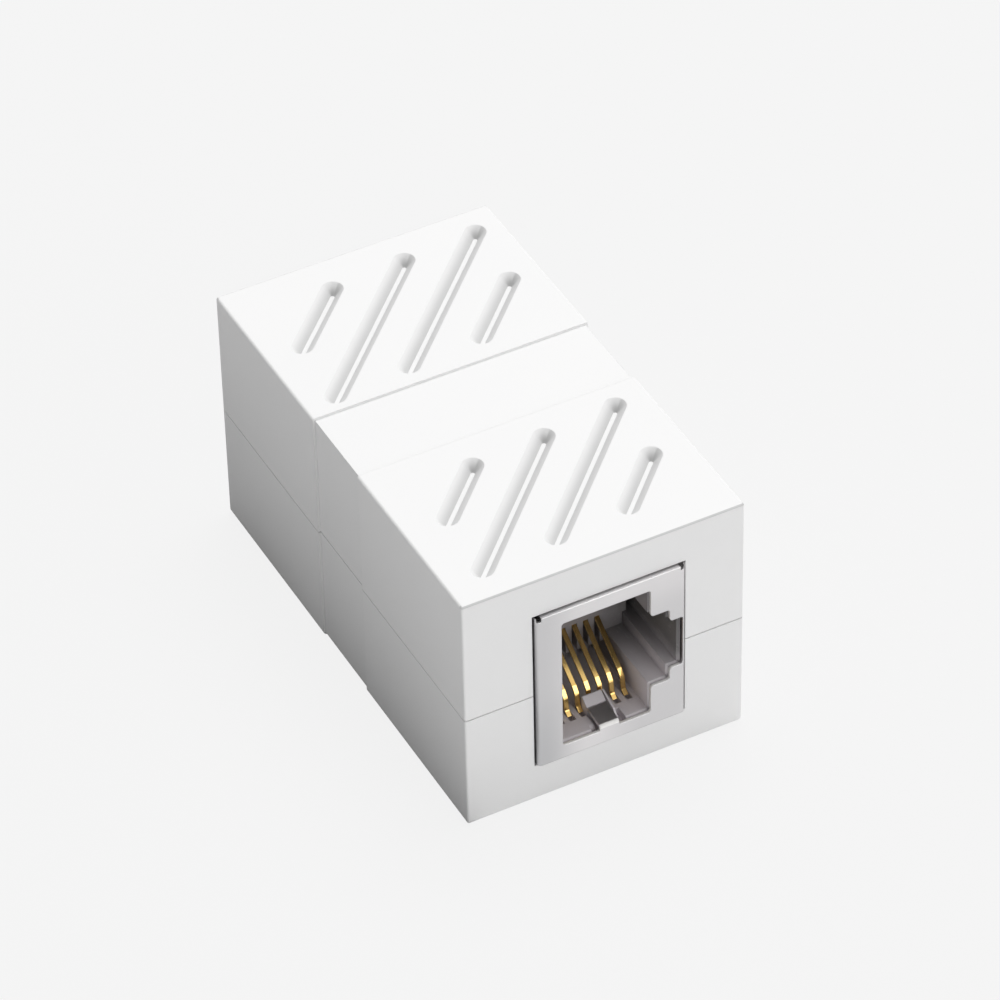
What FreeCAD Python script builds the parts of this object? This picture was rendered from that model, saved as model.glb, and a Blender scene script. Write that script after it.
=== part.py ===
import FreeCAD, Part
import math
import os

Vector = FreeCAD.Vector

# In-line coupler for two eight-way plugs, in millimetres.
# Frame: origin at the middle of the base, +Z up, the front port faces -Y, the rear port +Y.
# A jack's own frame: x to the right, y from the end face into the body, z from the port's middle.

# ---- contacts: the row sets how wide the jack is
contact_count = 8
contact_pitch = 0.94
contact_right = 2.57        # the right-hand contact
contact_width = 0.35
contact_thickness = 0.20
contact_bend = 0.30
knee = (3.28, 1.67)         # bends: depth, and height above the bay's floor
shin = (2.86, 1.20)
heel = (2.66, 0.15)
toe = (2.25, -0.17)
stopped = (2, 3)            # these two end at the raised stop and have no toe
exit_height = 4.00          # where a contact leaves the carrier's face
crown_height = 4.75
tail_first = 3.30           # tail rows, behind the carrier's face
tail_stagger = 1.80
tail_below = 0.80

# ---- jack shell
jack_depth = 15.6
jack_shift = 0.35           # the jack sits this far towards its latch side
sheet = 0.25                # shield sheet
proud = 0.35                # the shield's face stands out of the body
side_fold_radius = 0.40
relief_in = 0.10            # black corner reliefs at the top of the folded face
relief_wide = 0.36
relief_high = 0.34
relief_deep = 1.20
flange_depth = 3.1
leg_width = 1.2
leg_depth = 9.2             # ground legs, behind the end face

# ---- port cut-out in the shield: a plug's outline turned on its side, latch steps to the right
cut_left = 4.04
cut_right = 3.21
cut_half = 5.95
step1_right = 4.78
step1_half = 3.42
step2_rim = 0.22            # the second step stops this far inside the shield's side
step2_half = 2.30
cut_radius = 0.25

# ---- tongue bent in from the cut-out's lower edge
tongue_left = -0.98
tongue_right = 0.60
tongue_rise = 0.42          # above the cut-out's edge
tongue_end = 1.65
tongue_lift = 0.25          # the inner end is this much higher than the bend
tongue_bend = 0.20

# ---- moulded insert inside the shield
insert_gap = 0.05           # insert to shield
insert_tail_gap = 0.15      # insert's back to the shield's back sheet
insert_wall = 1.435         # beside the contact row
insert_skin = 0.25          # under the comb slots
row_margin = 0.10           # bay wall to the last slot
ledge1_inset = 0.08         # first latch ledge stands inside the shield's step
latch_wall = 0.22           # beside the second ledge
front_bevel = 0.20
bevel_land = 0.02           # flat edge left beside the bevel
comb_depth = 0.65           # floor slots below the bay's floor
slot_side = 0.08            # slot to contact, each side
slot_front = 1.65
slot_back = 3.50
window_back = 2.40          # the floor is open this far behind the carrier's face
notch_depth = 1.25          # notch in the front lip
notch_side = 0.06           # notch to tongue
block_front = 0.25          # rounded block at the notch's left
block_radius = 0.50
stop_gap = 0.05             # tongue's end to stop
stop_top = (2.40, 2.50, 1.15)   # the stop's flat top: two depths and a height
rib_gap = 0.10              # tongue to the thin rib on its right
rib_width = 0.15
rib_top = [(0.31, 0.0), (0.84, 0.57), (2.50, 1.10)]
peg_diameter = 1.5
peg_spacing = 8.0
peg_depth = 6.0
foot_size = 1.6
foot_second = 6.0           # second pair of feet, behind the first

# ---- contact carrier, pushed in from behind
carrier_gap = 0.04
carrier_face = 6.60
carrier_right = 5.00
carrier_undercut = 1.0
carrier_nose = 1.60         # the fins' noses end this far above the bay's floor

# ---- board
board_thickness = 1.0
board_edge_gap = 0.30
tail_hole = 0.90
leg_slot_gap = 0.20
pin_gap = 0.10

# ---- casing
wall = 1.6
floor_thickness = 1.3
board_standoff = 1.25
roof = 1.6
roof_gap = 1.85
side_gap = 3.70             # jack to side wall
centre_gap = 8.20           # between the backs of the two jacks
window_gap = 0.12           # shield to casing window
seam_drop = 0.40            # the seam lies this far below the port's middle
parting_gap = 0.08
tongue_height = 1.0
lap_gap = 0.05
band_half = 3.55            # recessed band round the middle
band_depth = 0.20
band_slope = 0.03
top_radius = 0.20
base_radius = 0.40
corner_radius = 0.15

# ---- inside the casing
rail_width = 1.2
rail_end_gap = 2.0
post_spacing = 12.0
post_diameter = 3.2
pin_diameter = 1.6
pin_above = 1.2
snap_place = 9.0
snap_width = 3.2
snap_thickness = 1.0
snap_gap = 0.10
snap_reach = 3.6            # below the seam
snap_root = 2.6             # above the seam
hook_depth = 0.45
hook_height = 0.9
hook_drop = 2.0             # the hook's top, below the seam
hook_gap = 0.10
hook_lip = 0.20

# ---- diagonal grooves on the roof: (pitch, long, short) for the front and the rear half
groove_floor = 0.38
groove_rim = 0.50           # quarter-round rims, as deep as they are wide
groove_middle = 11.2
groove_shift = 2.35
groove_side = 0.25          # the pattern's middle, right of the body's
groove_sets = {-1: (4.00, 14.80, 5.75), 1: (4.13, 16.20, 6.80)}

# ---- making
bite = 0.1                  # joined pieces reach this far into each other
past = 1.0                  # cutters reach this far past a face

# ---- worked out
bay_floor = -cut_half
comb_floor = bay_floor - comb_depth
jack_height = 2 * (insert_skin - comb_floor + insert_gap + sheet)
contact_places = [contact_right - i * contact_pitch for i in range(contact_count)]
tail_rows = [carrier_face + tail_first, carrier_face + tail_first + tail_stagger]
slot_reach = contact_width / 2 + slot_side
bay_left = row_margin + slot_reach - contact_places[-1]
jack_width = 2 * (bay_left + insert_wall + insert_gap + sheet)
step2_right = jack_width / 2 - step2_rim
ledge1_right = step1_right - ledge1_inset
insert_half_width = jack_width / 2 - sheet - insert_gap
ledge2_right = insert_half_width - latch_wall
insert_half_height = jack_height / 2 - sheet - insert_gap
insert_back = jack_depth - sheet - insert_tail_gap
tail_window = carrier_face + window_back
body_length = 2 * jack_depth + centre_gap
body_width = jack_width + 2 * side_gap + 2 * wall
board_bottom = floor_thickness + board_standoff
board_top = board_bottom + board_thickness
port_z = board_top + jack_height / 2
body_height = board_top + jack_height + roof_gap + roof
seam_z = port_z - seam_drop
half_length = body_length / 2
half_width = body_width / 2
inner_half_length = half_length - wall
inner_half_width = half_width - wall


def block(x0, x1, y0, y1, z0, z1):
    return Part.makeBox(x1 - x0, y1 - y0, z1 - z0, Vector(x0, y0, z0))


def rod(x, y, z0, z1, diameter):
    return Part.makeCylinder(diameter / 2, z1 - z0, Vector(x, y, z0))


def prism_y(outline, y0, y1):
    """Extrude an x, z outline along y."""
    points = [Vector(x, y0, z) for x, z in outline]
    return Part.Face(Part.makePolygon(points + points[:1])).extrude(Vector(0, y1 - y0, 0))


def prism_x(outline, x0, x1):
    """Extrude a y, z outline along x."""
    points = [Vector(x0, y, z) for y, z in outline]
    return Part.Face(Part.makePolygon(points + points[:1])).extrude(Vector(x1 - x0, 0, 0))


def edges_where(shape, test):
    """Edges whose every vertex passes the test."""
    return [e for e in shape.Edges if all(test(v.Point) for v in e.Vertexes)]


def near(a, b):
    return abs(a - b) < 1e-4


def above_floor(points):
    """Depth and height pairs as depth and z."""
    return [(y, bay_floor + height) for y, height in points]


def upright_edges(shape, y):
    """Vertical edges of a block at one depth."""
    edges = edges_where(shape, lambda p: near(p.y, y))
    return [e for e in edges if near(e.Vertexes[0].X, e.Vertexes[1].X)]


def stepped_outline(left, right, half, right1, half1, right2, half2):
    """The turned plug outline: a tall main bay and two latch steps to the right."""
    lower = [(left, -half), (right, -half), (right, -half1), (right1, -half1),
             (right1, -half2), (right2, -half2)]
    return lower + [(x, -z) for x, z in reversed(lower)]


# ---------------------------------------------------------------- jack pieces

def turn(p, q, r):
    """Signed turn at q of the run p, q, r, with the two unit directions."""
    a = Vector(0, q[0] - p[0], q[1] - p[1]).normalize()
    b = Vector(0, r[0] - q[0], r[1] - q[1]).normalize()
    return math.atan2(a.cross(b).x, a.dot(b)), a, b


def ribbon_side(points, offset, radius):
    """One side of a bent strip: straight runs joined by tangent arcs."""
    def shifted(point, direction):
        normal = Vector(0, -direction.z, direction.y)
        return Vector(0, point[0], point[1]) + normal * offset
    first = Vector(0, points[1][0] - points[0][0], points[1][1] - points[0][1]).normalize()
    at = shifted(points[0], first)
    start, edges = at, []
    for p, q, r in zip(points, points[1:], points[2:]):
        angle, a, b = turn(p, q, r)
        back = radius * math.tan(abs(angle) / 2)
        side = 1 if angle > 0 else -1
        centre = Vector(0, q[0], q[1]) - a * back + Vector(0, -a.z, a.y) * (side * radius)
        arm = radius - side * offset
        ends = [centre - Vector(0, -d.z, d.y) * (side * arm) for d in (a, b)]
        middle = (ends[0] + ends[1]) * 0.5 - centre
        middle = centre + middle.normalize() * arm
        edges.append(Part.makeLine(at, ends[0]))
        edges.append(Part.Arc(ends[0], middle, ends[1]).toShape())
        at = ends[1]
    last = Vector(0, points[-1][0] - points[-2][0], points[-1][1] - points[-2][1]).normalize()
    end = shifted(points[-1], last)
    edges.append(Part.makeLine(at, end))
    return start, edges, end


def bent_strip(points, thickness, radius, x0, x1):
    """Sheet strip bent along a y, z line through the middle of its thickness."""
    s1, left, e1 = ribbon_side(points, thickness / 2, radius)
    s2, right, e2 = ribbon_side(points, -thickness / 2, radius)
    edges = left + right + [Part.makeLine(s1, s2), Part.makeLine(e1, e2)]
    face = Part.Face(Part.Wire(Part.__sortEdges__(edges)))
    strip = face.extrude(Vector(x1 - x0, 0, 0))
    strip.translate(Vector(x0, 0, 0))
    return strip


def shield_can():
    """Folded can with round side folds, before anything is cut from its face."""
    x, z = jack_width / 2, jack_height / 2
    outer = block(-x, x, -proud, jack_depth, -z, z)
    outer = outer.makeFillet(side_fold_radius, upright_edges(outer, -proud))
    inner = block(-x + sheet, x - sheet, -proud + sheet, jack_depth - sheet, -z + sheet, z - sheet)
    inner = inner.makeFillet(side_fold_radius - sheet, upright_edges(inner, sheet - proud))
    return outer.cut(inner)


def port_cutter():
    outline = stepped_outline(-cut_left, cut_right, cut_half, step1_right, step1_half,
                              step2_right, step2_half)
    port = prism_y(outline, -proud - past, sheet)
    corners = [e for e in port.Edges if near(e.Vertexes[0].X, e.Vertexes[1].X)
               and near(e.Vertexes[0].Z, e.Vertexes[1].Z)]
    return port.makeFillet(cut_radius, corners)


def corner_reliefs():
    """Small square holes where the top flange and the side folds meet."""
    x, z = jack_width / 2, jack_height / 2
    low, high = x - relief_in - relief_wide, x - relief_in
    spans = [(-high, -low), (low, high)]
    return [block(x0, x1, -proud - past, relief_deep - proud, z - relief_high, z + past)
            for x0, x1 in spans]


def make_tongue():
    """Tongue that rises from the cut-out's lower edge and is bent back into the bay."""
    face = sheet / 2 - proud
    top = bay_floor + tongue_rise - sheet / 2
    points = [(face, bay_floor - sheet), (face, top), (tongue_end, top + tongue_lift)]
    return bent_strip(points, sheet, tongue_bend, tongue_left, tongue_right)


def make_shield():
    """Folded sheet can: stepped cut-out with a tongue, open underneath, two ground legs."""
    x, z = jack_width / 2, jack_height / 2
    underside = block(-x + sheet, x - sheet, flange_depth, jack_depth + past, -z - past, bite - z + sheet)
    shield = shield_can().cut([port_cutter(), underside] + corner_reliefs())
    legs = []
    for side in (-1, 1):
        x0, x1 = sorted((side * x, side * (x - sheet)))
        legs.append(block(x0, x1, leg_depth - leg_width / 2, leg_depth + leg_width / 2,
                          -z - board_thickness - tail_below, -z + sheet))
    return shield.fuse(legs + [make_tongue()]).removeSplitter()


def insert_body():
    """Block with the stepped bay through it and a bevel round the bay's mouth."""
    x, z = insert_half_width, insert_half_height
    body = block(-x, x, 0, insert_back, -z, z)
    outline = stepped_outline(-bay_left, cut_right, cut_half, ledge1_right, step1_half,
                              ledge2_right, step2_half)
    body = body.cut(prism_y(outline, -past, insert_back + past))
    mouth = edges_where(body, lambda p: near(p.y, 0) and not near(abs(p.x), x))
    return body.makeChamfer(min(front_bevel, latch_wall - bevel_land), mouth)


def comb_cuts():
    """Slots for the contacts' toes, and the open floor behind them."""
    cuts = []
    for i, place in enumerate(contact_places):
        front = stop_top[1] if i in stopped else slot_front
        cuts.append(block(place - slot_reach, place + slot_reach, front, slot_back,
                          comb_floor, bay_floor + bite))
    below = -insert_half_height - past
    cuts.append(block(-bay_left, cut_right, slot_back, tail_window, comb_floor, bay_floor))
    cuts.append(block(-bay_left, cut_right, tail_window, insert_back + past, below, bay_floor))
    return cuts


def notch_cuts():
    """Notch in the front lip between the slots beside the stopped pair, and the tongue's bed."""
    left = contact_places[stopped[1] + 1] - slot_reach
    right = contact_places[stopped[0] - 1] - slot_reach
    high = bay_floor + bite
    return [block(left, right, -past, notch_depth, comb_floor, high),
            block(tongue_left - notch_side, tongue_right + rib_gap, -past, stop_top[0],
                  comb_floor, high)]


def notch_block():
    """Round-fronted block at the left of the notch, in front of a slot."""
    left = contact_places[stopped[1] + 1] - slot_reach
    body = block(left, tongue_left - notch_side, block_front, slot_front,
                 comb_floor - bite, bay_floor)
    edge = edges_where(body, lambda p: near(p.y, block_front) and near(p.z, bay_floor))
    return body.makeFillet(block_radius, edge)


def make_stop():
    """Ramp behind the tongue that the two middle contacts end at."""
    foot = tongue_end + stop_gap
    front, back, height = stop_top
    low = -comb_depth - bite
    outline = [(foot, low), (back, low), (back, height), (front, height),
               (foot, tongue_rise + tongue_lift)]
    return prism_x(above_floor(outline), tongue_left, tongue_right)


def make_rib():
    """Thin rib that follows the tongue and the ramp on their right."""
    left = tongue_right + rib_gap
    low = -comb_depth - bite
    outline = [(rib_top[0][0], low)] + rib_top + [(rib_top[-1][0], low)]
    return prism_x(above_floor(outline), left, left + rib_width)


def insert_feet():
    """Pegs into the board and feet on it."""
    feet = []
    low, high = -jack_height / 2, bite - insert_half_height
    for side in (-1, 1):
        feet.append(rod(side * peg_spacing / 2, peg_depth, low - board_thickness, high,
                        peg_diameter))
        x0, x1 = sorted((side * insert_half_width, side * (insert_half_width - foot_size)))
        for y in (peg_depth, peg_depth + foot_second):
            feet.append(block(x0, x1, y, y + foot_size, low, high))
    return feet


def make_insert():
    """Moulded insert: stepped bay, comb slots in the floor, notch, stop, pegs and feet."""
    body = insert_body().cut(comb_cuts() + notch_cuts() + corner_reliefs())
    return body.fuse([notch_block(), make_stop(), make_rib()] + insert_feet()).removeSplitter()


def run_slope():
    """Rise of the contacts' sloping run, from the knee to the carrier's face."""
    return (exit_height - knee[1]) / (carrier_face - knee[0])


def crown():
    """Where the sloping run, carried on past the carrier's face, reaches the crown's height."""
    return carrier_face + (crown_height - exit_height) / run_slope(), crown_height


def make_carrier():
    """Comb block that fills the back of the bay and keeps the contacts apart."""
    g = carrier_gap
    outline = stepped_outline(-bay_left + g, cut_right - g, cut_half - g, ledge1_right - g,
                              step1_half - g, carrier_right, step2_half - g)
    body = prism_y(outline, carrier_face, insert_back - g)
    lift = contact_thickness
    reach = contact_width / 2 + carrier_gap
    front = carrier_face - bite
    cuts = []
    for i, place in enumerate(contact_places):
        back = tail_rows[i % 2] + contact_thickness
        outline = [(front, -past), (front, exit_height - bite * run_slope() + lift),
                   (crown()[0], crown_height + lift), (back, crown_height + lift), (back, -past)]
        cuts.append(prism_x(above_floor(outline), place - reach, place + reach))
    cuts.append(block(-bay_left, cut_right, front, carrier_face + carrier_undercut,
                      bay_floor - past, bay_floor + carrier_nose))
    return body.cut(cuts)


def make_contact(index):
    """Bent spring strip: toe in the floor comb, sloping run, crown, and tail through the board."""
    tail = tail_rows[index % 2]
    end = -jack_height / 2 - board_thickness - tail_below
    bends = [(tail, crown_height), crown(), knee, shin, heel]
    if index not in stopped:
        bends.append(toe)
    left = contact_places[index] - contact_width / 2
    return bent_strip([(tail, end)] + above_floor(bends), contact_thickness, contact_bend,
                      left, left + contact_width)


def place_jack(shape, end):
    """Move a jack piece into the body: the front end, or the rear end turned half round."""
    placed = shape.copy()
    placed.translate(Vector(jack_shift, -half_length, port_z))
    if end == "rear":
        placed.rotate(Vector(0, 0, 0), Vector(0, 0, 1), 180)
    return placed


# ---------------------------------------------------------------- board and casing

def turned(x, y):
    """The same place on both jacks, in the body's frame."""
    px, py = x + jack_shift, y - half_length
    return [(px, py), (-px, -py)]


def make_board():
    x = inner_half_width - board_edge_gap
    y = inner_half_length - board_edge_gap
    body = block(-x, x, -y, y, board_bottom, board_top)
    low, high = board_bottom - past, board_top + past
    holes = []
    for i, place in enumerate(contact_places):
        holes += [rod(px, py, low, high, tail_hole) for px, py in turned(place, tail_rows[i % 2])]
    for side in (-1, 1):
        pegs = turned(side * peg_spacing / 2, peg_depth)
        holes += [rod(px, py, low, high, peg_diameter + 2 * pin_gap) for px, py in pegs]
        reach = leg_width / 2 + leg_slot_gap
        across = sheet / 2 + leg_slot_gap
        legs = turned(side * (jack_width - sheet) / 2, leg_depth)
        holes += [block(px - across, px + across, py - reach, py + reach, low, high)
                  for px, py in legs]
        holes.append(rod(side * post_spacing / 2, 0, low, high, pin_diameter + 2 * pin_gap))
    return body.cut(holes)


def casing_outer():
    """Whole outer block: rounded edges and a recessed band round the middle."""
    body = block(-half_width, half_width, -half_length, half_length, 0, body_height)
    base = edges_where(body, lambda p: near(p.z, 0))
    body = body.makeFillet(base_radius, base)
    top = edges_where(body, lambda p: near(p.z, body_height))
    body = body.makeFillet(top_radius, top)
    upright = [e for e in body.Edges
               if abs(e.Vertexes[0].Z - e.Vertexes[-1].Z) > body_height / 2]
    body = body.makeFillet(corner_radius, upright)
    return body.cut(band_cutters())


def band_section(face, out):
    """Trapezoid across the band at a face: wide at the surface, narrow at its floor."""
    wide = band_half + band_slope * (1 + out / band_depth)
    return [(-band_half, face - band_depth), (band_half, face - band_depth),
            (wide, face + out), (-wide, face + out)]


def band_cutters():
    reach = half_width + past
    top = prism_x(band_section(body_height, past), -reach, reach)
    base = prism_x([(y, -z) for y, z in band_section(0, past)], -reach, reach)
    cutters = [top, base]
    for side in (-1, 1):
        points = [Vector(side * x, y, -past) for y, x in band_section(half_width, past)]
        face = Part.Face(Part.makePolygon(points + points[:1]))
        cutters.append(face.extrude(Vector(0, 0, body_height + 2 * past)))
    return cutters


def casing_windows():
    """Windows in both end walls, a little larger than the shield."""
    x = jack_width / 2 + window_gap
    z = jack_height / 2 + window_gap
    window = block(-x, x, -past, wall + past, -z, z)
    return [place_jack(window, "front"), place_jack(window, "rear")]


def lap_ring(height, outer_gap):
    """Ring in the inner half of the wall, upwards from the seam."""
    x = half_width - wall / 2 - outer_gap
    y = half_length - wall / 2 - outer_gap
    ring = block(-x, x, -y, y, seam_z, seam_z + height)
    hollow = block(-inner_half_width, inner_half_width, -inner_half_length, inner_half_length,
                   seam_z - past, seam_z + height + past)
    return ring.cut(hollow)


def hook_outline(side, gap):
    """x, z outline of a snap hook on the outer face of its arm."""
    root = side * (inner_half_width - snap_gap - 2 * bite)
    face = side * (inner_half_width - snap_gap)
    tip = side * (inner_half_width - snap_gap + hook_depth + gap)
    top = seam_z - hook_drop + gap
    foot = seam_z - hook_drop - hook_height - gap
    return [(root, top), (tip, top), (tip, top - hook_lip), (face, foot), (root, foot)]


def make_lower_shell(outer):
    below = block(-half_width - past, half_width + past, -half_length - past, half_length + past,
                  -past, seam_z)
    hollow = block(-inner_half_width, inner_half_width, -inner_half_length, inner_half_length,
                   floor_thickness, seam_z + past)
    shell = outer.common(below).cut(hollow)
    shell = shell.fuse(lap_ring(tongue_height, lap_gap))
    rail_y = inner_half_length - rail_end_gap
    for side in (-1, 1):
        x0, x1 = sorted((side * (inner_half_width + bite), side * (inner_half_width - rail_width)))
        shell = shell.fuse(block(x0, x1, -rail_y, rail_y, floor_thickness - bite, board_bottom))
        post_x = side * post_spacing / 2
        shell = shell.fuse(rod(post_x, 0, floor_thickness - bite, board_bottom, post_diameter))
        shell = shell.fuse(rod(post_x, 0, board_bottom - bite, board_top + pin_above, pin_diameter))
    pockets = []
    for side in (-1, 1):
        for end in (-1, 1):
            y = end * snap_place
            reach = snap_width / 2 + hook_gap
            pockets.append(prism_y(hook_outline(side, hook_gap), y - reach, y + reach))
    return shell.cut(pockets + casing_windows()).removeSplitter()


def groove(length):
    """Round-ended groove along x, cut down from z = 0: flat floor, quarter-round flared rims."""
    inner, outer, rim = groove_floor / 2, groove_floor / 2 + groove_rim, groove_rim
    middle = rim * math.sqrt(0.5)
    corners = [Vector(0, 0, rim), Vector(0, outer, rim), Vector(0, outer, 0),
               Vector(0, inner, -rim), Vector(0, 0, -rim)]
    curve = Part.Arc(corners[2], Vector(0, outer - middle, middle - rim), corners[3]).toShape()
    edges = [Part.makeLine(corners[0], corners[1]), Part.makeLine(corners[1], corners[2]), curve,
             Part.makeLine(corners[3], corners[4]), Part.makeLine(corners[4], corners[0])]
    half = Part.Face(Part.Wire(edges))
    run = half.extrude(Vector(length, 0, 0))
    run = run.fuse(run.mirror(Vector(0, 0, 0), Vector(0, 1, 0)))
    bowl = half.revolve(Vector(0, 0, 0), Vector(0, 0, 1), 360)
    run.translate(Vector(-length / 2, 0, 0))
    bowls = [bowl.translated(Vector(s * length / 2, 0, 0)) for s in (-1, 1)]
    return run.fuse(bowls).removeSplitter()


def groove_cutters():
    cutters = []
    for end, (pitch, long, short) in groove_sets.items():
        for row, length in enumerate((short, long, long, short)):
            cutter = groove(length)
            along = -groove_shift if row < 2 else groove_shift
            across = (1.5 - row) * pitch
            cutter.translate(Vector(along, across, 0))
            cutter.rotate(Vector(0, 0, 0), Vector(0, 0, 1), 45)
            cutter.translate(Vector(groove_side, end * groove_middle, body_height))
            cutters.append(cutter)
    return cutters


def make_upper_shell(outer):
    above = block(-half_width - past, half_width + past, -half_length - past, half_length + past,
                  seam_z + parting_gap, body_height + past)
    hollow = block(-inner_half_width, inner_half_width, -inner_half_length, inner_half_length,
                   seam_z - past, body_height - roof)
    shell = outer.common(above).cut(hollow)
    shell = shell.cut(lap_ring(tongue_height, 0))
    for side in (-1, 1):
        post_x = side * post_spacing / 2
        shell = shell.fuse(rod(post_x, 0, board_top, body_height - roof + bite, post_diameter))
        for end in (-1, 1):
            y = end * snap_place
            x0, x1 = sorted((side * (inner_half_width - snap_gap),
                             side * (inner_half_width - snap_gap - snap_thickness)))
            arm = block(x0, x1, y - snap_width / 2, y + snap_width / 2,
                        seam_z - snap_reach, seam_z + snap_root)
            x0, x1 = sorted((side * (inner_half_width + bite),
                             side * (inner_half_width - snap_gap - snap_thickness)))
            root = block(x0, x1, y - snap_width / 2, y + snap_width / 2,
                         seam_z + tongue_height + snap_gap, seam_z + snap_root)
            hook = prism_y(hook_outline(side, 0), y - snap_width / 2, y + snap_width / 2)
            shell = shell.fuse([arm, root, hook])
    sockets = [rod(side * post_spacing / 2, 0, board_top - past, board_top + pin_above + 2 * pin_gap,
                   pin_diameter + 2 * pin_gap) for side in (-1, 1)]
    return shell.cut(sockets + casing_windows() + groove_cutters()).removeSplitter()


def build():
    outer = casing_outer()
    nodes = {
        "upper_shell": make_upper_shell(outer),
        "lower_shell": make_lower_shell(outer),
        "circuit_board": make_board(),
    }
    shield, insert, carrier = make_shield(), make_insert(), make_carrier()
    contacts = [make_contact(i) for i in range(contact_count)]
    for end in ("front", "rear"):
        nodes[end + "_shield"] = place_jack(shield, end)
        nodes[end + "_insert"] = place_jack(insert, end)
        nodes[end + "_contact_carrier"] = place_jack(carrier, end)
        for i, contact in enumerate(contacts):
            nodes["%s_contact_%d" % (end, i + 1)] = place_jack(contact, end)
    return nodes


def main():
    os.makedirs("parts", exist_ok=True)
    for name, shape in build().items():
        shape.exportStep("parts/%s.step" % name)
        print(name, "solids", len(shape.Solids), "valid", shape.isValid(),
              "volume %.2f" % shape.Volume)


main()
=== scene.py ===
# %% [markdown]
# # A small in-line network coupler
#
# The object is a white plastic block, 39 mm long, with a metal-lined socket in each end.
# The packed model already holds every solid at its true size, so this lesson is about finishes,
# one moulding whose grooves are cut again, the light, and the camera.
# Everything is in metres. The origin is the middle of the base, +Z is up and -Y leaves the
# front socket.

# %% Load the fixed model
import math

import bmesh
import bpy
from mathutils import Matrix, Vector


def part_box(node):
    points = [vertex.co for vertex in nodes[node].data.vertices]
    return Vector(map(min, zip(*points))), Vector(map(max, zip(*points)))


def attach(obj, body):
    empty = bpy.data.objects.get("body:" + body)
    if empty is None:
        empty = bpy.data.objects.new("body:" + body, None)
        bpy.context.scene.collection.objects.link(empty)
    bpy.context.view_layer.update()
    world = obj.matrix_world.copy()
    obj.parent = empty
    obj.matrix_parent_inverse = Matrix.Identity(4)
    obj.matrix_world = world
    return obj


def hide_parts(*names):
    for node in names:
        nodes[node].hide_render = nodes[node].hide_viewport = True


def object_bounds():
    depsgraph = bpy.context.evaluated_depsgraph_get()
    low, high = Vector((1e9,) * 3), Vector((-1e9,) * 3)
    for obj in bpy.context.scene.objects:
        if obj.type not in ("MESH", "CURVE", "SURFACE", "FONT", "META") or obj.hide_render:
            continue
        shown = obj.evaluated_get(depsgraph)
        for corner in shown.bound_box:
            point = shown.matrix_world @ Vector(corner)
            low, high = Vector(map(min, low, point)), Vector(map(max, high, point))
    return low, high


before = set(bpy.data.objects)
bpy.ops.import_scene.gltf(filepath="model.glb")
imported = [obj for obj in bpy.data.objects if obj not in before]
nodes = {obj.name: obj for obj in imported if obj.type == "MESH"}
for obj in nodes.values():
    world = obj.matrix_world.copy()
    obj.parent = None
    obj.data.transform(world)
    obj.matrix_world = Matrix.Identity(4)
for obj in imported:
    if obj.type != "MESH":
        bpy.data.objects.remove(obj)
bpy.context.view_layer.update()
MM = 0.001
print("nodes loaded:", len(nodes))

# %% [markdown]
# ## Names for the families of nodes
#
# The two sockets are copies of each other, so each finish is given to a family of nodes.
# Grouping them by the end of their names keeps the front and the rear the same.

# %% Families
ENDS = ("front", "rear")
shields = [nodes[end + "_shield"] for end in ENDS]
inserts = [nodes[end + "_insert"] for end in ENDS]
carriers = [nodes[end + "_contact_carrier"] for end in ENDS]
contacts = [node for name, node in sorted(nodes.items()) if name.split("_")[-1].isdigit()]
board = nodes["circuit_board"]
low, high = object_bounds()
print("contacts:", len(contacts), "size in mm:", [round(v / MM, 2) for v in high - low])

# %% [markdown]
# ## The camera
#
# A small product is usually shot with a long lens from well back, which keeps its edges almost
# parallel. The camera is given as a place, a heading, a height angle and a slight roll.
# A matrix built from the camera's own three axes avoids any doubt about rotation order.

# %% Camera
LENS = 200.04
SENSOR_WIDTH = 36.0
NEAREST_SEEN = 10 * MM
CAMERA_PLACE = Vector((-139.30, -275.97, 282.81)) * MM
HEADING, HEIGHT, ROLL = (math.radians(a) for a in (-27.0986, 41.2891, -1.352))


def camera_axes(heading, height, roll):
    """Right, up and back unit vectors of a camera that looks along the heading and down."""
    back = Vector((math.sin(heading) * math.cos(height), -math.cos(heading) * math.cos(height),
                   math.sin(height)))
    right = Vector((math.cos(heading), math.sin(heading), 0))
    up = back.cross(right)
    turned_right = right * math.cos(roll) + up * math.sin(roll)
    turned_up = up * math.cos(roll) - right * math.sin(roll)
    return turned_right, turned_up, back


lens = bpy.data.cameras.new("camera")
lens.lens = LENS
lens.sensor_width = SENSOR_WIDTH
lens.clip_start = NEAREST_SEEN
camera = bpy.data.objects.new("camera", lens)
bpy.context.scene.collection.objects.link(camera)
turn = Matrix(camera_axes(HEADING, HEIGHT, ROLL)).transposed()
camera.matrix_world = Matrix.Translation(CAMERA_PLACE) @ turn.to_4x4()
bpy.context.scene.camera = camera
print("camera distance in mm:", round(CAMERA_PLACE.length / MM))

# %% [markdown]
# ## Where the jacks are
#
# Several finishes change from place to place inside a jack: deeper, higher, nearer the latch.
# Three lengths from the fixed model say where a jack's middle lies, and every such finish
# measures from there. The rear jack is the front one turned half round.

# %% Middle of a jack
JACK_SHIFT = 0.35
PORT_Z = 10.7
HALF_LENGTH = 19.7
print("jack middle in mm:", (JACK_SHIFT, -HALF_LENGTH, PORT_Z))

# %% [markdown]
# ## Sums on shader sockets
#
# A finish is mostly arithmetic on patterns. Wiring Math nodes by hand hides the formula, so a
# small class wraps a socket and gives it the usual operators. Each has its reflected form too,
# so that 1 - mask works. Any other node comes from one method, `Finish.node`, which sets the
# node's options first and its inputs after.


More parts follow.
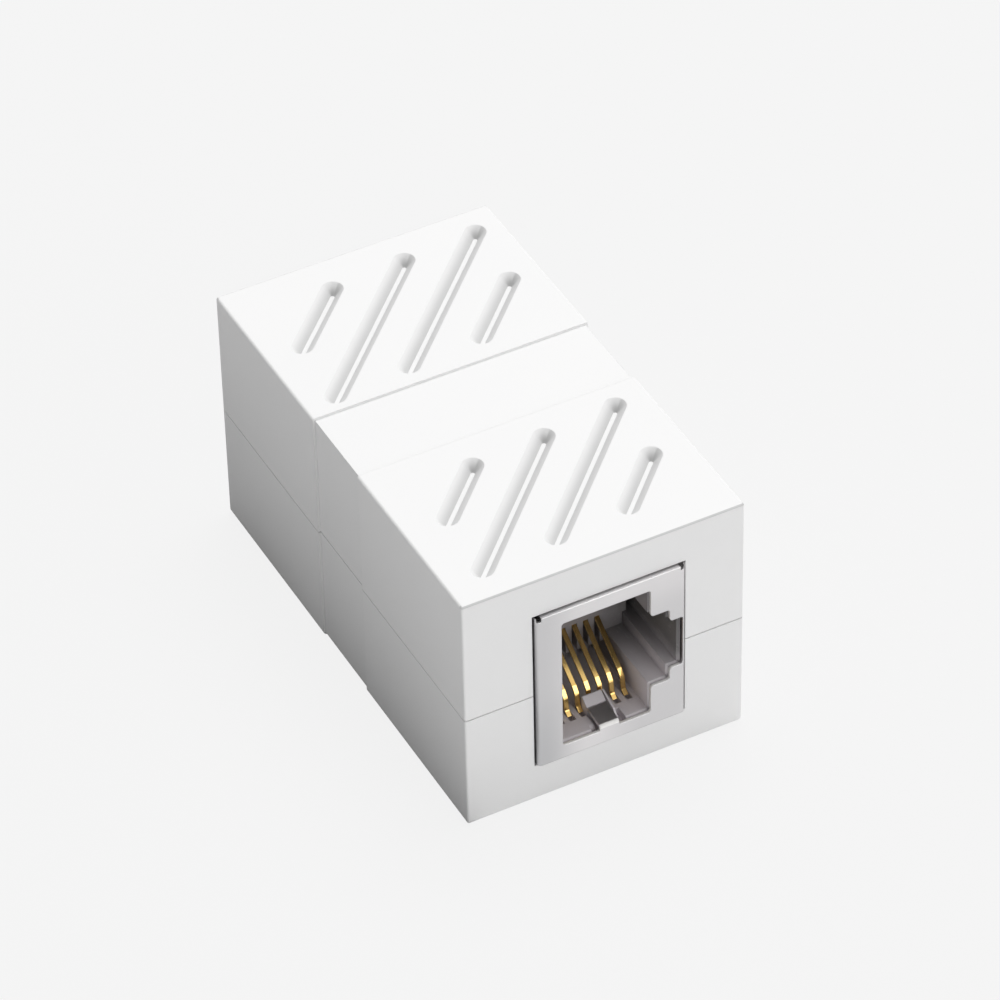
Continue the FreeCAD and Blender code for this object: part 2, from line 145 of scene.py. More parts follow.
# %% Socket arithmetic
class Amount:
    """A number that varies over the surface: a socket with + - and *."""

    def __init__(self, finish, socket):
        self.finish = finish
        self.socket = socket

    def _math(self, operation, first, second):
        return self.finish.node("ShaderNodeMath", {"operation": operation}, {0: first, 1: second})

    def __add__(self, other):
        return self._math("ADD", self, other)

    def __sub__(self, other):
        return self._math("SUBTRACT", self, other)

    def __mul__(self, other):
        return self._math("MULTIPLY", self, other)

    def __radd__(self, other):
        return self._math("ADD", other, self)

    def __rsub__(self, other):
        return self._math("SUBTRACT", other, self)

    def __rmul__(self, other):
        return self._math("MULTIPLY", other, self)

    def alone(self, operation):
        """A Math node that needs only this amount, such as SIGN or ABSOLUTE."""
        return self.finish.node("ShaderNodeMath", {"operation": operation}, {0: self})

    def step(self, low, high):
        """0 below low, 1 above high, smooth between."""
        return self.finish.node("ShaderNodeMapRange", {"interpolation_type": "SMOOTHSTEP"},
                                {"Value": self, "From Min": low, "From Max": high})

    def beside(self, output):
        """Another output of the same node."""
        return Amount(self.finish, self.socket.node.outputs[output])


reflected = [name for name in vars(Amount) if name.startswith("__r")]
print("reflected operators:", reflected)

# %% A finish under construction
# A Mix node repeats its socket names for every kind of data, so its colours go by number.
MIX_FIRST = 6
MIX_SECOND = 7
MIX_RESULT = 2
EDGE_SAMPLES = 6


class Finish:
    """A material under construction, with one Principled surface."""

    def __init__(self, name):
        self.material = bpy.data.materials.new(name)
        self.material.use_nodes = True
        self.tree = self.material.node_tree
        self.tree.nodes.clear()
        self.surface = self.tree.nodes.new("ShaderNodeBsdfPrincipled")
        output = self.tree.nodes.new("ShaderNodeOutputMaterial")
        self.tree.links.new(self.surface.outputs[0], output.inputs["Surface"])
        self.place = self.node("ShaderNodeTexCoord", {}, {}, "Object")

    def node(self, kind, settings, inputs, output=0):
        """A new node: its settings first, then its inputs. The result is one of its outputs."""
        node = self.tree.nodes.new(kind)
        for name, value in settings.items():
            setattr(node, name, value)
        for name, value in inputs.items():
            self.feed(node.inputs[name], value)
        return Amount(self, node.outputs[output])

    def feed(self, socket, value):
        """Link a varying value to a socket, or write a fixed one on it."""
        if isinstance(value, Amount):
            self.tree.links.new(value.socket, socket)
        else:
            socket.default_value = value

    def set(self, **inputs):
        """Feed the surface's own sockets, with _ for a space in their names."""
        for name, value in inputs.items():
            self.feed(self.surface.inputs[name.replace("_", " ")], value)

    def noise(self, per_mm, detail=2.0, stretch=(1, 1, 1)):
        """Noise with about per_mm features to the millimetre, stretched along the axes."""
        scale = tuple(per_mm / MM / s for s in stretch)
        place = self.node("ShaderNodeMapping", {}, {"Vector": self.place, "Scale": scale})
        inputs = {"Vector": place, "Scale": 1.0, "Detail": detail}
        return self.node("ShaderNodeTexNoise", {}, inputs)

    def blend(self, factor, first, second):
        """A colour between two, by factor."""
        settings = {"data_type": "RGBA", "blend_type": "MIX"}
        inputs = {"Factor": factor, MIX_FIRST: first, MIX_SECOND: second}
        return self.node("ShaderNodeMix", settings, inputs, MIX_RESULT)

    def mix(self, factor, first, second):
        """A shader between two, by factor."""
        return self.node("ShaderNodeMixShader", {}, {0: factor, 1: first, 2: second})

    def show(self, shader):
        """Send another shader to the output in place of the plain surface."""
        output = next(node for node in self.tree.nodes if node.type == "OUTPUT_MATERIAL")
        self.feed(output.inputs["Surface"], shader)
        self.tree.nodes.remove(self.surface)

    def jack_place(self):
        """Across to the latch side and height, in mm from the port's middle, and depth in mm
        from the end face. The rear jack is the front one turned half round."""
        x = self.node("ShaderNodeSeparateXYZ", {}, {"Vector": self.place}, "X")
        y, z = x.beside("Y"), x.beside("Z")
        side = 0 - y.alone("SIGN")
        across = x * side * (1 / MM) - JACK_SHIFT
        return across, z * (1 / MM) - PORT_Z, HALF_LENGTH - y.alone("ABSOLUTE") * (1 / MM)

    def bump(self, height, depth_mm, strength, edge_mm=0.0):
        """Relief in the shading, on edges that look rounded to edge_mm."""
        inputs = {"Height": height, "Distance": depth_mm * MM, "Strength": strength}
        if edge_mm:
            radius = {"Radius": edge_mm * MM}
            inputs["Normal"] = self.node("ShaderNodeBevel", {"samples": EDGE_SAMPLES}, radius)
        return self.node("ShaderNodeBump", {}, inputs)


def grey(value, warm=0.0):
    """A near-grey colour with four channels, slightly warm where warm is above 0."""
    return (value * (1 + warm), value, value * (1 - warm), 1)


print("mid grey:", grey(0.5))

# %% [markdown]
# ## Painted shade in the grooves and on the end edges
#
# The flanks of the roof's grooves get painted shade: their colour is blended towards grey, most
# towards the floor and at the far end of each groove, where the real grooves lie in shade. The
# rounded edge at each end of the roof gets painted shade too, a grey line where the light leaves
# that edge dark. Painting them would need a texture, but both can be told from the rest by two
# things that the surface knows: how steeply it leans, and how far it lies from the roof, the
# sides and the ends.
# So each is a mask made from the object's normal and from distances in millimetres.


# %% Lean and distance
def leaning(finish):
    """How far the surface faces right, back and up, each from -1 to 1."""
    facing = finish.node("ShaderNodeTexCoord", {}, {}, "Normal")
    up = finish.node("ShaderNodeSeparateXYZ", {}, {"Vector": facing}, "Z")
    return up.beside("X"), up.beside("Y"), up


def distances(finish):
    """Distances in mm inwards from the sides, from the ends and down from the roof."""
    height = finish.node("ShaderNodeSeparateXYZ", {}, {"Vector": finish.place}, "Z")
    side, end = height.beside("X").alone("ABSOLUTE"), height.beside("Y").alone("ABSOLUTE")
    from_side = high.x / MM - side * (1 / MM)
    from_end = high.y / MM - end * (1 / MM)
    return from_side, from_end, high.z / MM - height * (1 / MM)


print("sides, ends and roof in mm:", [round(part / MM, 2) for part in high])

# %% Mask of the painted shade on the groove flanks
# Each pair is the span, in mm or in lean, over which a mask goes from 0 to 1.
CUT_STARTS = (0.0, 0.03)
CUT_ENDS = (1.0, 1.1)
SIDE_MARGIN = (0.7, 0.8)
END_MARGIN = (1.3, 1.4)
DEEPENS = (0.05, 0.75)
LEVEL = (0.60, 0.97)
NOT_UPRIGHT = (0.1, 0.4)
FACES_BACK = (0.1, 0.4)
FACES_FRONT = (0.25, 1.0)
# Shares of the painted shade in the grooves.
RIM_SHADE_SHARE = 0.12
BACK_SHADE_SHARE = 0.55
END_SHADE_SHARE = 0.9
UPRIGHT_SHADE_SHARE = 0.25


def groove_shade_mask(finish):
    """Painted shade, 1 on the steep sides cut into the roof and 0 on level faces and outside."""
    right, back, up = leaning(finish)
    from_side, from_end, depth = distances(finish)
    inside = from_side.step(*SIDE_MARGIN) * from_end.step(*END_MARGIN)
    inside = inside * depth.step(*CUT_STARTS) * (1 - depth.step(*CUT_ENDS))
    deep = depth.step(*DEEPENS)
    # Painted shade: more towards the floor, more near the rim of the flank that faces back and
    # left, and most on faces turned front and left, at each groove's far end.
    share = RIM_SHADE_SHARE + (1 - RIM_SHADE_SHARE) * deep
    share = share + BACK_SHADE_SHARE * (back - right).step(*FACES_BACK) * (1 - deep)
    share = share * (1 + END_SHADE_SHARE * (0 - right - back).step(*FACES_FRONT))
    steep = UPRIGHT_SHADE_SHARE + (1 - UPRIGHT_SHADE_SHARE) * up.step(*NOT_UPRIGHT)
    return (1 - up.step(*LEVEL)) * steep * share * inside


# The share printed below is that of the painted shade.
print("grime at a groove's rim, as a share of that at its floor:", RIM_SHADE_SHARE)

# %% Mask of the painted shade on the end edges
EDGE_LEANS = (0.10, 0.45)
EDGE_LEVEL = (0.86, 0.97)
EDGE_INWARDS = (0.6, 0.75)
EDGE_DEPTH = (0.4, 0.5)


def end_edge_shade_mask(finish):
    """Painted shade, 1 on the rounded edge at each end of the roof and 0 elsewhere."""
    *_, up = leaning(finish)
    _, from_end, depth = distances(finish)
    rounded = up.step(*EDGE_LEANS) * (1 - up.step(*EDGE_LEVEL))
    return rounded * (1 - from_end.step(*EDGE_INWARDS)) * (1 - depth.step(*EDGE_DEPTH))


print("the end edge's mask ends", EDGE_DEPTH[1], "mm below the roof")

# %% [markdown]
# ## White casing plastic
#
# The casing is ABS moulded in a finely spark-eroded tool: satin, nearly white, with a grain far
# too fine to count. Two noises do it. The fine one is the grain, in the bump and the gloss. The
# broad one is the slow drift of gloss and tone that every moulding has. The two masks of painted
# shade then blend the colour towards a mid grey, in the grooves and on the end edges.

# %% Casing plastic
# Strengths of the painted shade in the grooves and on the end edges, and its grey.
GROOVE_SHADE_PAINT = 0.36
END_EDGE_SHADE_PAINT = 0.46
PAINTED_SHADE_GREY = grey(0.30)
PLASTIC_IOR = 1.5


def casing_plastic(name, tone):
    finish = Finish(name)
    grain = finish.noise(per_mm=7.0, detail=3.0)
    drift = finish.noise(per_mm=0.12)
    colour = finish.blend(drift, grey(tone * 0.985), grey(tone, 0.002))
    # Painted shade on the groove flanks and on the end edges, blended towards a mid grey.
    colour = finish.blend(GROOVE_SHADE_PAINT * groove_shade_mask(finish), colour, PAINTED_SHADE_GREY)
    colour = finish.blend(END_EDGE_SHADE_PAINT * end_edge_shade_mask(finish), colour, PAINTED_SHADE_GREY)
    finish.set(Base_Color=colour, Roughness=0.40 + 0.10 * drift + 0.06 * grain, IOR=PLASTIC_IOR,
               Normal=finish.bump(grain, depth_mm=0.0016, strength=0.5, edge_mm=0.08))
    return finish.material


casing_finishes = [casing_plastic("casing_upper_plastic", 0.885),
                   casing_plastic("casing_lower_plastic", 0.880)]
print("casing finishes:", [material.name for material in casing_finishes])

# %% [markdown]
# ## Nickel-plated shield
#
# The shield is rolled steel, plated after blanking. Rolling leaves long faint lines along the
# strip, which show in the gloss more than in the colour. Noise stretched sixtyfold along X makes
# them. A painted reflection darkens the plate's colour down one side, at the foot of the other
# and, most, on the folded edge. The sheared edge of the cut-out shows pale, matt metal, painted
# paler still as a highlight along the cut. Those are masks on the place in the jack.

# %% Mask of the painted reflection on the plate
# Spans are in mm in the jack, across or upwards.
LEFT_SIDE = (-5.6, -2.0)
LEFT_FADES = (-6.5, 2.0)
LEFT_TOP_SHARE = 0.6
RIGHT_SIDE = (-2.0, 3.0)
RIGHT_FADES = (3.0, 7.0)
# Strengths of the painted reflection on the left and on the right.
LEFT_REFLECTION_SHARE = 0.95
RIGHT_REFLECTION_SHARE = 0.42


def painted_plate_reflection(across, height):
    """Painted reflection: darker all down the left side, and on the lower part of the right side.
    """
    foot = 1 - height.step(*LEFT_FADES)
    left = (1 - across.step(*LEFT_SIDE)) * (LEFT_TOP_SHARE + (1 - LEFT_TOP_SHARE) * foot)
    right = across.step(*RIGHT_SIDE) * (1 - height.step(*RIGHT_FADES))
    return LEFT_REFLECTION_SHARE * left + RIGHT_REFLECTION_SHARE * right


# The two values printed below are the strengths of the painted reflection.
print("dullness, left and right:", LEFT_REFLECTION_SHARE, RIGHT_REFLECTION_SHARE)

# %% Mask of the sheared edge
# Spans are in mm. The face starts at -0.35, and the sheet is 0.25 thick.
EDGE_STARTS = (-0.345, -0.335)
EDGE_ENDS = (-0.11, -0.10)
ABOVE_CUT = (6.7, 6.8)
BESIDE_CUT = (5.60, 5.66)


def sheared_edge(across, height, depth):
    """The edge of the cut-out, which lies in the thickness of the face."""
    upright, sideways = height.alone("ABSOLUTE"), across.alone("ABSOLUTE")
    edge = depth.step(*EDGE_STARTS) * (1 - depth.step(*EDGE_ENDS))
    return edge * (1 - upright.step(*ABOVE_CUT)) * (1 - sideways.step(*BESIDE_CUT))


print("sheared edge between depths in mm:", EDGE_STARTS[0], EDGE_ENDS[1])

# %% Shield plating
PLATE_TONES = ((0.72, 0.705, 0.71, 1), (0.79, 0.775, 0.78, 1))
# Colours of the painted reflection on the sides, of the painted dark reflection on the fold, and
# of the sheared edge with its painted highlight.
PLATE_REFLECTION_DARK = (0.52, 0.52, 0.53, 1)
FOLD_REFLECTION_DARK = (0.27, 0.27, 0.28, 1)
SHEARED_EDGE_AND_HIGHLIGHT = (0.95, 0.94, 0.92, 1)
LEFT_FOLD = (-6.09, -6.03)
FOLD_STARTS = (-0.33, -0.22)


def shield_plating():
    finish = Finish("shield_plating")
    lines = finish.noise(per_mm=14.0, detail=3.0, stretch=(60, 1, 1))
    cloud = finish.noise(per_mm=0.35)
    across, height, depth = finish.jack_place()
    sheared = sheared_edge(across, height, depth)
    # Painted dark reflection on the folded edge down the left side.
    fold = (1 - across.step(*LEFT_FOLD)) * depth.step(*FOLD_STARTS)
    colour = finish.blend(cloud, *PLATE_TONES)
    # Painted reflection: the plate's colour is darker down its sides.
    colour = finish.blend(painted_plate_reflection(across, height), colour, PLATE_REFLECTION_DARK)
    colour = finish.blend(fold, colour, FOLD_REFLECTION_DARK)
    # The cut edge: pale matt metal, painted brighter as a highlight along the cut.
    colour = finish.blend(sheared, colour, SHEARED_EDGE_AND_HIGHLIGHT)
    finish.set(Base_Color=colour, Metallic=1 - 0.75 * sheared,
               Roughness=0.24 + 0.12 * lines + 0.05 * cloud + 0.25 * sheared,
               Normal=finish.bump(lines, depth_mm=0.0012, strength=0.5, edge_mm=0.13))
    return finish.material


shield_finish = shield_plating()
print("shield nodes:", len(shield_finish.node_tree.nodes))

# %% [markdown]
# ## Grey socket plastics
#
# The insert and the contact carrier are glass-filled nylon. It is greyer and drier than the
# casing, with short pale flecks where fibres lie at the skin. Shade is painted into its colour:
# it is palest at the mouth, painted darker deeper in, higher up and on the wall by the latch, and
# nearly black above the bay. The painted shade follows depth and height in the jack, so one
# recipe serves both mouldings, each with its own tones.

# %% Insert and carrier plastics
# Spans are in mm in the jack, from the port's middle or inwards from the end face.
FLECK = grey(0.8)
FLECK_SHARE = 0.08
FLECK_EDGE = (0.62, 0.74)
# Spans and shares below set where shade is painted into the nylon's colour.
INWARD = (0.6, 7.0)
OFF_FLOOR = (-6.4, -6.0)
FLOOR_SHADE_SHARE = 0.12
LATCH_SIDE = (2.9, 5.4)
LATCH_HEIGHT = (-3.2, -1.0)
LATCH_SHADE_SHARE = 0.85
ABOVE_BAY = (6.6, 6.7)
ABOVE_BAY_SHADE = grey(0.01)


def mauve(tone):
    """The nylon's grey, a little redder than neutral."""
    return (tone * 1.03, tone * 0.97, tone, 1)


def socket_plastic(name, tone, painted_deep_shade, painted_wall_shade, upper_shade, upper_span):
    finish = Finish(name)
    grain = finish.noise(per_mm=9.0, detail=3.0)
    fleck = finish.noise(per_mm=5.0, detail=1.0, stretch=(1, 4, 1)).step(*FLECK_EDGE)
    across, height, depth = finish.jack_place()
    # Painted shade: darker with depth, much less so on the floor, darker higher up, darker on the
    # latch wall and nearly black above the bay.
    off_floor = FLOOR_SHADE_SHARE + (1 - FLOOR_SHADE_SHARE) * height.step(*OFF_FLOOR)
    inward = depth.step(*INWARD) * off_floor
    upper = upper_shade * height.step(*upper_span)
    latch_wall = across.step(*LATCH_SIDE) * height.step(*LATCH_HEIGHT)
    colour = finish.blend(inward + upper * (1 - inward), mauve(tone), mauve(painted_deep_shade))
    colour = finish.blend(LATCH_SHADE_SHARE * latch_wall, colour, grey(painted_wall_shade, 0.04))
    colour = finish.blend(height.step(*ABOVE_BAY), colour, ABOVE_BAY_SHADE)
    colour = finish.blend(FLECK_SHARE * fleck, colour, FLECK)
    finish.set(Base_Color=colour, Roughness=0.44 + 0.14 * grain,
               Normal=finish.bump(grain, depth_mm=0.0020, strength=0.6, edge_mm=0.06))
    return finish.material


# Each moulding's own tone, then the tones of its painted shade deep in and on the latch wall.
insert_finish = socket_plastic("insert_nylon", tone=0.72, painted_deep_shade=0.20, painted_wall_shade=0.07,
                               upper_shade=0.80, upper_span=(-0.5, 3.0))
carrier_finish = socket_plastic("carrier_nylon", tone=0.80, painted_deep_shade=0.24, painted_wall_shade=0.20,
                                upper_shade=1.0, upper_span=(-3.8, -3.2))
print("socket finishes:", insert_finish.name, carrier_finish.name)

# %% [markdown]
# ## Gilt contacts
#
# A contact is phosphor bronze with a gold flash, thickest where the plug rubs. The tail near the
# board is tinned for soldering, so the finish changes with height: gold above, bright tin below.

# %% Contact gilding
GOLD_TONES = ((0.90, 0.56, 0.17, 1), (0.97, 0.71, 0.28, 1))
TIN = (0.78, 0.77, 0.75, 1)
GOLD_FROM = 0.6 * MM
GOLD_FULL = 1.2 * MM


def contact_gilding():
    finish = Finish("contact_gilding")
    board_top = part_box("circuit_board")[1].z
    height = finish.node("ShaderNodeSeparateXYZ", {}, {"Vector": finish.place}, "Z")
    gilt = height.step(board_top + GOLD_FROM, board_top + GOLD_FULL)
    drawn = finish.noise(per_mm=22.0, stretch=(1, 14, 14))
    colour = finish.blend(gilt, TIN, finish.blend(finish.noise(per_mm=1.1), *GOLD_TONES))
    finish.set(Base_Color=colour, Metallic=1.0, Roughness=0.11 + 0.09 * drawn,
               Normal=finish.bump(drawn, depth_mm=0.0012, strength=0.5, edge_mm=0.04))
    return finish.material


contact_finish = contact_gilding()
print("contact nodes:", len(contact_finish.node_tree.nodes))

# %% [markdown]
# ## The circuit board
#
# Green solder resist lies over woven glass, and the weave just prints through. Copper under the
# resist shows as slightly raised, lighter lanes along the board. Bands in two directions,
# multiplied, give the cloth, and broader bands with sharp sides give the lanes.

# %% Board laminate
WEAVE_SCALE = 900.0
WEAVE_WANDER = 0.6
LANE_SCALE = 300.0
LANE_EDGE = (0.55, 0.65)
RESIST = (0.012, 0.10, 0.045, 1)
RESIST_ON_COPPER = (0.03, 0.17, 0.07, 1)


def bands(finish, direction, scale, wander=0.0):
    """Soft stripes across X or Y."""
    settings = {"wave_type": "BANDS", "bands_direction": direction}
    inputs = {"Vector": finish.place, "Scale": scale, "Distortion": wander}
    return finish.node("ShaderNodeTexWave", settings, inputs)


def board_laminate():
    finish = Finish("board_laminate")
    warp = bands(finish, "X", WEAVE_SCALE, WEAVE_WANDER)
    cloth = warp * bands(finish, "Y", WEAVE_SCALE, WEAVE_WANDER)
    lanes = bands(finish, "X", LANE_SCALE).step(*LANE_EDGE)
    finish.set(Base_Color=finish.blend(lanes, RESIST, RESIST_ON_COPPER),
               Roughness=0.30 + 0.15 * cloth,
               Normal=finish.bump(cloth * 0.4 + lanes, depth_mm=0.02, strength=0.5))
    return finish.material


board_finish = board_laminate()
print("board nodes:", len(board_finish.node_tree.nodes))

# %% [markdown]
# ## The roof's grooves, cut deeper
#
# The fixed model has shallow round-shouldered grooves. On the real moulding they are wider and
# deeper, with nearly straight flanks and a narrow floor. The grooves could be cut again with a
# boolean, but the roof already has rows of points along every shoulder. So the upper shell is
# copied and merged, and those points are moved: each one's distance from its groove's middle
# line says where it sits between rim and floor, and the new section gives its new place. The
# roof's long thin triangles are first turned into fuller ones, so that none of them folds over
# when the rims move. The near end of each groove also moves out a little.

# %% Middle lines of the grooves
GROOVE_MIDDLE = 11.2 * MM
GROOVE_SIDE = 0.25 * MM
GROOVE_SHIFT = 2.35 * MM
# For the front and the rear set: pitch, then the long and the short middle line, in mm.
GROOVE_SETS = {-1: (4.00, 14.80, 5.75), 1: (4.13, 16.20, 6.80)}
ALONG = Vector((1, 1)).normalized()
ACROSS = Vector((-1, 1)).normalized()


def groove_lines():
    """Ends of each groove's middle line on the roof, near end first, as pairs of 2-D points."""
    pairs = []
    for end, (pitch, long, short) in GROOVE_SETS.items():
        middle = Vector((GROOVE_SIDE, end * GROOVE_MIDDLE))
        for row, length in enumerate((short, long, long, short)):
            shift = -GROOVE_SHIFT if row < 2 else GROOVE_SHIFT
            centre = middle + ALONG * shift + ACROSS * ((1.5 - row) * pitch * MM)
            half = ALONG * (length * MM / 2)
            pairs.append((centre - half, centre + half))
    return pairs


middle_lines = groove_lines()
print("grooves:", len(middle_lines))

# %% New place of a groove's points
OLD_REACH = 0.69 * MM
OLD_FLOOR = 0.19 * MM
OLD_DEPTH = 0.50 * MM
NEW_REACH = 0.87 * MM
NEW_FLOOR = 0.16 * MM
NEW_DEPTH = 0.84 * MM
SHOULDER = 1.12
NEAR_END = 0.18 * MM
REACH_SLACK = 0.005 * MM
DEPTH_SLACK = 0.01 * MM
SAME_PLACE = 0.001 * MM


def nearest(point, line):
    """Closest point of a line segment."""
    start, end = line
    run = end - start
    share = max(0, min(1, (point - start).dot(run) / run.length_squared))
    return start + run * share


def recut(vert, roof):
    """Move one point of a groove's shoulder or floor; say whether it moved."""
    flat = vert.co.xy
    line = min(middle_lines, key=lambda each: (nearest(flat, each) - flat).length)
    foot = nearest(flat, line)
    out = flat - foot
    reach = out.length
    beside = reach > OLD_REACH + REACH_SLACK
    if beside or vert.co.z < roof - OLD_DEPTH - DEPTH_SLACK or reach < SAME_PLACE:
        return False
    share = max(0, min(1, (OLD_REACH - reach) / (OLD_REACH - OLD_FLOOR)))
    place = foot + out * ((NEW_REACH - share * (NEW_REACH - NEW_FLOOR)) / reach)
    if foot.y < line[0].y + SAME_PLACE:
        place -= ALONG * NEAR_END
    vert.co = (place.x, place.y, roof - NEW_DEPTH * share ** SHOULDER)
    return True


print("groove width in mm:", [round(2 * reach / MM, 2) for reach in (OLD_REACH, NEW_REACH)])

# %% Recut copy of the upper shell
FLAT = 0.9999
CREASE = math.radians(28)

upper_mesh = bpy.data.meshes.new("upper_moulding")
shape = bmesh.new()
shape.from_mesh(nodes["upper_shell"].data)
bmesh.ops.remove_doubles(shape, verts=shape.verts, dist=SAME_PLACE)
roof_z = high.z - SAME_PLACE
roof = {face for face in shape.faces if min(vert.co.z for vert in face.verts) > roof_z}
inner = [edge for edge in shape.edges if all(face in roof for face in edge.link_faces)]
bmesh.ops.beautify_fill(shape, faces=list(roof), edges=inner)
moved = sum(recut(vert, high.z) for vert in shape.verts)
for face in shape.faces:
    face.smooth = max(abs(part) for part in face.normal) < FLAT
for edge in shape.edges:
    edge.smooth = edge.calc_face_angle(math.pi) < CREASE
shape.to_mesh(upper_mesh)
shape.free()
upper_moulding = bpy.data.objects.new("upper_moulding", upper_mesh)
bpy.context.scene.collection.objects.link(upper_moulding)
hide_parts("upper_shell")
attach(upper_moulding, "root")
print("shoulder points moved:", moved)

# %% [markdown]
# ## Dressing the nodes
#
# A node keeps its mesh, and only its material slots change. Families are paired with finishes
# in one list, so that no piece is forgotten. The hidden upper shell gets its copy's finish.


# %% Give each family its finish
def dress(items, material):
    for item in items:
        item.data.materials.clear()
        item.data.materials.append(material)


upper_finish, lower_finish = casing_finishes
families = [([nodes["upper_shell"], upper_moulding], upper_finish),
            ([nodes["lower_shell"]], lower_finish),
            (shields, shield_finish), (inserts, insert_finish), (carriers, carrier_finish),
            (contacts, contact_finish), ([board], board_finish)]
for items, material in families:
    dress(items, material)
print("dressed:", sum(len(items) for items, material in families))

# %% [markdown]
# ## The floor
#
# The coupler stands on a plain pale sheet. What the camera and the metal see is an even paper
# tone that keeps a soft shadow. What the walls of the coupler receive is a matter of bounce: in
# front the sheet is white and lights the front wall from below, and along the left side lies a
# dark card, so that wall falls off towards its foot. The card is a strip of the floor's own
# material, set by place, because a real card would also show in the picture.

# %% Floor sheet
FLOOR_SIZE = 6.0
FLOOR_DROP = 0.01 * MM


def sheet(name, side):
    """A square sheet a hair below the coupler's base."""
    mesh = bpy.data.meshes.new(name)
    shape = bmesh.new()
    bmesh.ops.create_grid(shape, x_segments=1, y_segments=1, size=side / 2)
    bmesh.ops.translate(shape, vec=(0, 0, -FLOOR_DROP), verts=shape.verts)
    shape.to_mesh(mesh)
    shape.free()
    item = bpy.data.objects.new(name, mesh)
    bpy.context.scene.collection.objects.link(item)
    return item


floor = sheet("floor", FLOOR_SIZE)
print("floor side in m:", FLOOR_SIZE)

# %% Floor paper
FLOOR_TONE = 0.913
FLOOR_GLOW = 0.93
SHADOW_TONE = 0.86
BOUNCE_FRONT = 0.90
BOUNCE_LEFT = 0.62
BOUNCE_CARD = 0.26
CARD_WIDTH = 15 * MM
CARD_EDGE = 2 * MM
SIDE_FADE = 1 * MM
FRONT_FADE = 10 * MM


def sheet_paper():
    """Paper whose seen tone and whose bounce are set apart."""
    finish = Finish("floor_paper")
    rays = finish.node("ShaderNodeLightPath", {}, {}, "Is Camera Ray")
    glossy = rays.beside("Is Glossy Ray") + rays.beside("Is Transmission Ray")
    across = finish.node("ShaderNodeSeparateXYZ", {}, {"Vector": finish.place}, "X")
    along = across.beside("Y")
    card_end = low.x - CARD_WIDTH
    left = (1 - across.step(low.x, low.x + SIDE_FADE)) * along.step(low.y - FRONT_FADE, low.y)
    card = left * across.step(card_end - CARD_EDGE, card_end + CARD_EDGE)
    bounce = finish.blend(left, grey(BOUNCE_FRONT), grey(BOUNCE_LEFT))
    bounce = finish.blend(card, bounce, grey(BOUNCE_CARD))
    shade = finish.node("ShaderNodeBsdfDiffuse", {}, {"Color": grey(SHADOW_TONE)})
    paper = finish.node("ShaderNodeBsdfDiffuse", {}, {"Color": bounce})
    glow = finish.node("ShaderNodeEmission", {}, {"Color": grey(FLOOR_TONE)})
    seen = finish.mix(FLOOR_GLOW, shade, glow)
    mirrored = finish.mix(card, seen, paper)
    finish.show(finish.mix(glossy, finish.mix(rays, paper, seen), mirrored))
    return finish.material


floor.data.materials.append(sheet_paper())
print("paper tone as seen:", FLOOR_TONE)

# %% [markdown]
# ## The light
#
# One large softbox hangs almost straight above, a little behind and to the right, so the roof is
# the brightest face. A second stands low in front and lights the front wall and the mouth of the
# socket. A small third one, higher, is there for the contacts: it is what their bends mirror.
# A white surround gives the rest. It is dimmer on the left, which turns that wall grey. What the
# camera and the metal see of the surround is the same pale tone as the floor.


# %% Softboxes
def softbox(name, direction, distance, size, power):
    """Square area lamp that faces the origin from a direction."""
    lamp = bpy.data.lights.new(name, "AREA")
    lamp.shape = "SQUARE"
    lamp.size = size
    lamp.energy = power
    item = bpy.data.objects.new(name, lamp)
    item.location = direction.normalized() * distance
    item.rotation_euler = direction.to_track_quat("Z", "Y").to_euler()
    bpy.context.scene.collection.objects.link(item)


softbox("softbox_above", Vector((0.25, 0.20, 1.0)), distance=0.70, size=0.40, power=2.53)
softbox("softbox_front", Vector((0.25, -1.0, 0.22)), distance=0.80, size=0.50, power=0.55)
softbox("softbox_glint", Vector((0.30, -0.85, 0.60)), distance=0.80, size=0.28, power=0.42)

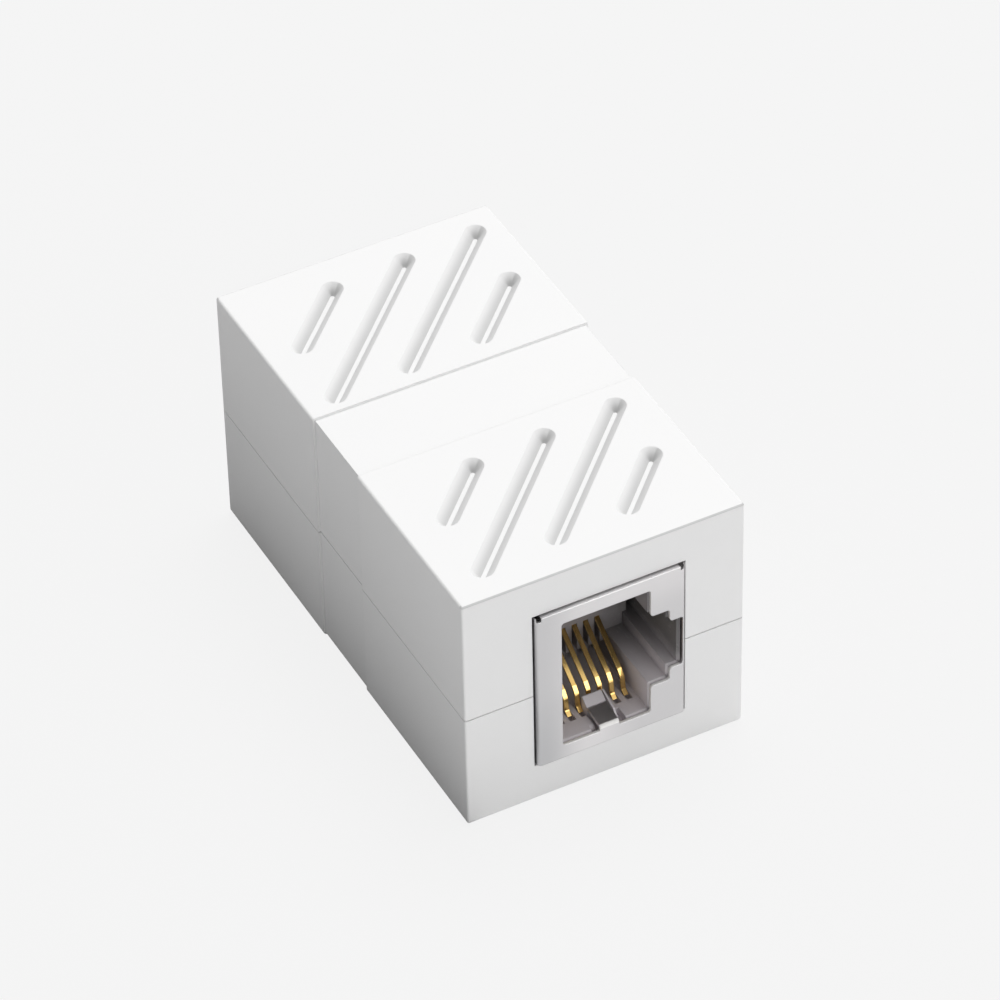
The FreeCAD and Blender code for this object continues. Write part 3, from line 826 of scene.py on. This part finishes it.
# %% Surround
SURROUND = 0.62
SURROUND_LEFT = 0.34
DARK_SIDE = Vector((-1.0, -0.15, 0.25)).normalized()
DARK_SPAN = (0.0, 0.9)


def seen_or_mirrored(tree):
    """1 where a ray from the camera, a mirror or glass meets the surround."""
    rays = tree.nodes.new("ShaderNodeLightPath")
    seen = rays.outputs["Is Camera Ray"]
    for name in ("Is Glossy Ray", "Is Transmission Ray"):
        either = tree.nodes.new("ShaderNodeMath")
        either.operation = "MAXIMUM"
        tree.links.new(seen, either.inputs[0])
        tree.links.new(rays.outputs[name], either.inputs[1])
        seen = either.outputs[0]
    return seen


def surround(strength, dark_strength):
    """White all round, dimmer towards the dark side, and paper-pale where it is seen."""
    world = bpy.data.worlds.new("surround")
    world.use_nodes = True
    tree = world.node_tree
    place = tree.nodes.new("ShaderNodeTexCoord")
    towards = tree.nodes.new("ShaderNodeVectorMath")
    towards.operation = "DOT_PRODUCT"
    towards.inputs[1].default_value = DARK_SIDE
    tree.links.new(place.outputs["Generated"], towards.inputs[0])
    ramp = tree.nodes.new("ShaderNodeMapRange")
    ramp.interpolation_type = "SMOOTHSTEP"
    limits = {"From Min": DARK_SPAN[0], "From Max": DARK_SPAN[1],
              "To Min": strength, "To Max": dark_strength}
    for name, value in limits.items():
        ramp.inputs[name].default_value = value
    tree.links.new(towards.outputs["Value"], ramp.inputs["Value"])
    shown = tree.nodes.new("ShaderNodeMix")
    shown.inputs["B"].default_value = FLOOR_TONE
    tree.links.new(seen_or_mirrored(tree), shown.inputs["Factor"])
    tree.links.new(ramp.outputs["Result"], shown.inputs["A"])
    background = tree.nodes["Background"]
    background.inputs["Color"].default_value = grey(1)
    tree.links.new(shown.outputs["Result"], background.inputs["Strength"])
    bpy.context.scene.world = world


surround(SURROUND, SURROUND_LEFT)
print("surround strength from", SURROUND_LEFT, "to", SURROUND)

# %% [markdown]
# ## Finish
#
# Standard view transform keeps a colour as it was written.

# %% View transform
bpy.context.scene.view_settings.view_transform = "Standard"
print("view transform:", bpy.context.scene.view_settings.view_transform)
